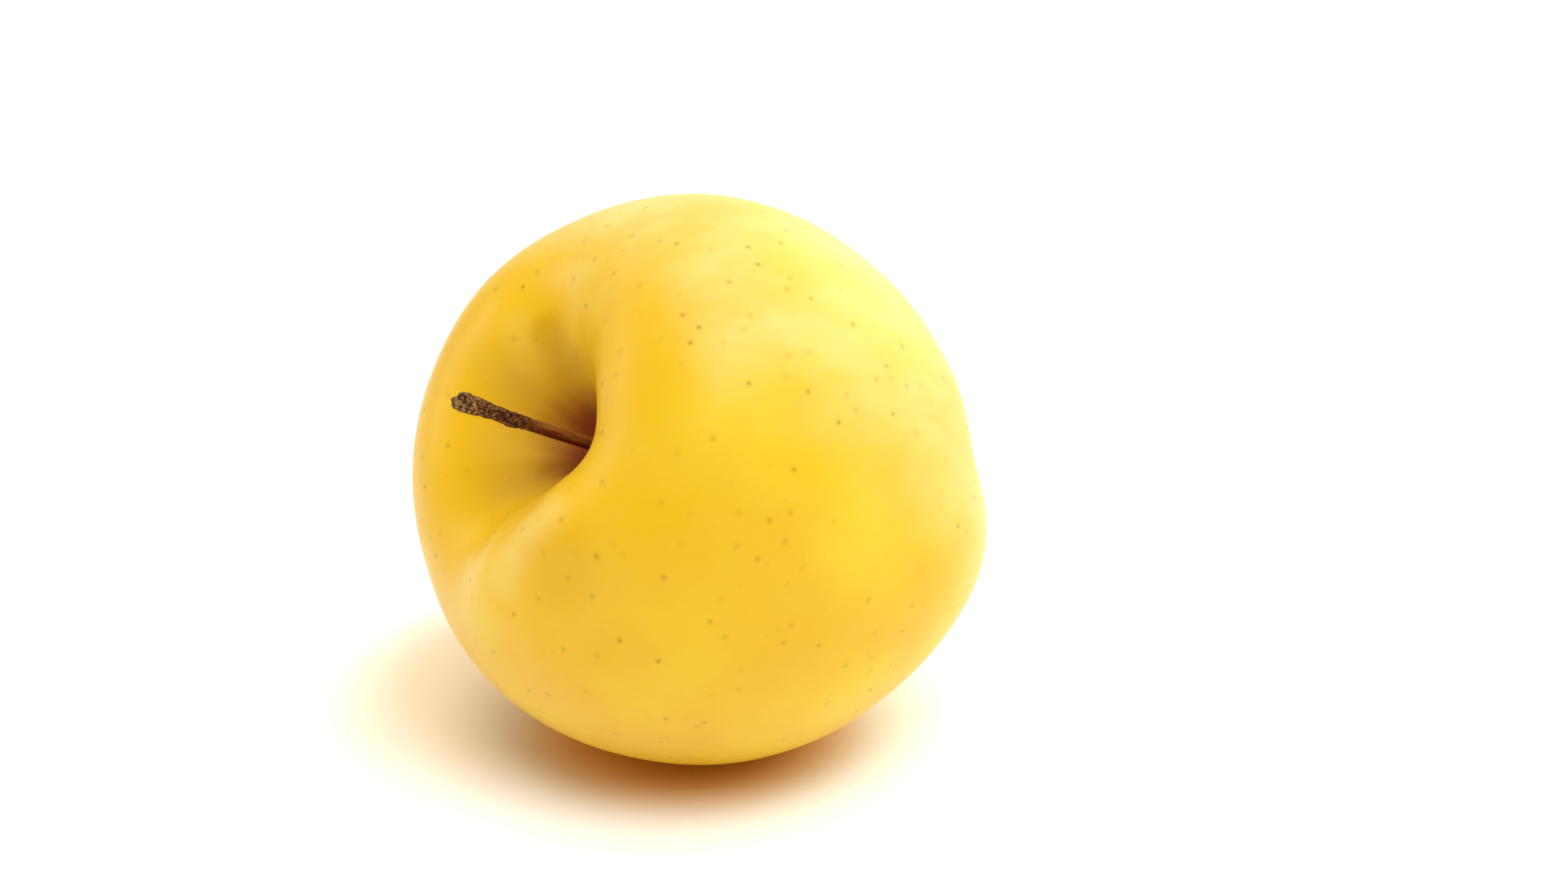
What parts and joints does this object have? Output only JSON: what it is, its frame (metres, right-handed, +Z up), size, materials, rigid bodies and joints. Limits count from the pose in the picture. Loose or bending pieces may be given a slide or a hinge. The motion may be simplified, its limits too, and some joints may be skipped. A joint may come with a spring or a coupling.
{
  "type": "yellow apple",
  "caption": "Yellow apple lying on its flank, with its woody stem in the stem cavity and dried flower parts in the eye.",
  "frame": {"origin": "the middle of the small flat spot on the flank that the apple rests on", "axes": "+Z up from the surface it rests on; the stem points to -X and about 26 degrees upward"},
  "size_m": [0.0722, 0.076, 0.0759],
  "materials": {
    "apple_skin": "waxy yellow fruit skin, satin, with fine olive-brown dots and russet in the stem cavity",
    "stem_bark": "dry brown bark, ochre towards the foot, corky and cracked at the end",
    "dried_sepal": "dry brown leaf, downy and dull",
    "dried_stamen": "dry dark brown threads, dull"
  },
  "bodies": {
    "root": {"fruit": "apple_skin", "stem": "stem_bark", "sepal_1": "dried_sepal", "sepal_2": "dried_sepal", "sepal_3": "dried_sepal", "sepal_4": "dried_sepal", "sepal_5": "dried_sepal", "stamen_tuft": "dried_stamen"}
  },
  "joints": []
}
